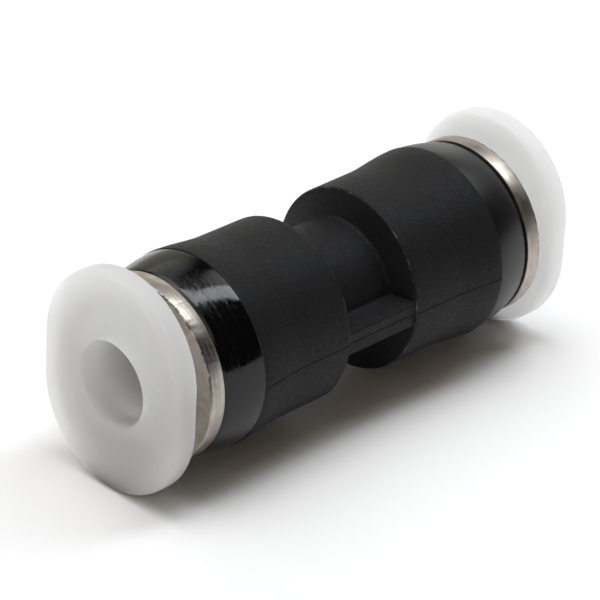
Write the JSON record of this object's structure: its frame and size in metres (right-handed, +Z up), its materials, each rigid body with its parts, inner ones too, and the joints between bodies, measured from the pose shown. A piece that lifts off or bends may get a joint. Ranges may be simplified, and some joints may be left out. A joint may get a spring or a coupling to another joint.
{
  "type": "straight push-in fitting",
  "caption": "Straight push-in union for 6 mm air tube: black moulded body with a ribbed waist, nickel-plated guide rings and white release rings with racetrack flanges.",
  "frame": {"origin": "the middle of the fitting, on its axis", "axes": "+X along the axis towards the rear tube port, +Z up along the long way of the release flanges, ribs of the waist towards +Y and -Y"},
  "size_m": [0.0386, 0.0142, 0.0162],
  "materials": {
    "body_plastic": "black moulded plastic, fine matte grain with polished mouth bands",
    "ring_plastic": "milky white acetal, soft gloss",
    "nickel_brass": "nickel plated, turned",
    "claw_steel": "stamped stainless spring sheet",
    "spacer_plastic": "natural moulded plastic",
    "seal_rubber": "black nitrile rubber"
  },
  "bodies": {
    "housing": {"body": "body_plastic", "front_guide_ring": "nickel_brass", "front_spacer": "spacer_plastic", "front_seal": "seal_rubber", "rear_guide_ring": "nickel_brass", "rear_spacer": "spacer_plastic", "rear_seal": "seal_rubber"},
    "front_claw": {"front_lock_claw": "claw_steel"},
    "front_release": {"front_release_ring": "ring_plastic"},
    "rear_claw": {"rear_lock_claw": "claw_steel"},
    "rear_release": {"rear_release_ring": "ring_plastic"}
  },
  "joints": [
    {"name": "front_swivel", "type": "hinge", "parent": "housing", "child": "front_claw", "pos_m": [-0.0112, 0, 0], "axis": [1, 0, 0], "continuous": true},
    {"name": "front_push", "type": "slide", "parent": "front_claw", "child": "front_release", "axis": [1, 0, 0], "range_m": [0, 0.0011], "stiffness_N_per_m": 800},
    {"name": "rear_swivel", "type": "hinge", "parent": "housing", "child": "rear_claw", "pos_m": [0.0112, 0, 0], "axis": [1, 0, 0], "continuous": true},
    {"name": "rear_push", "type": "slide", "parent": "rear_claw", "child": "rear_release", "axis": [-1, 0, 0], "range_m": [0, 0.0011], "stiffness_N_per_m": 800}
  ]
}
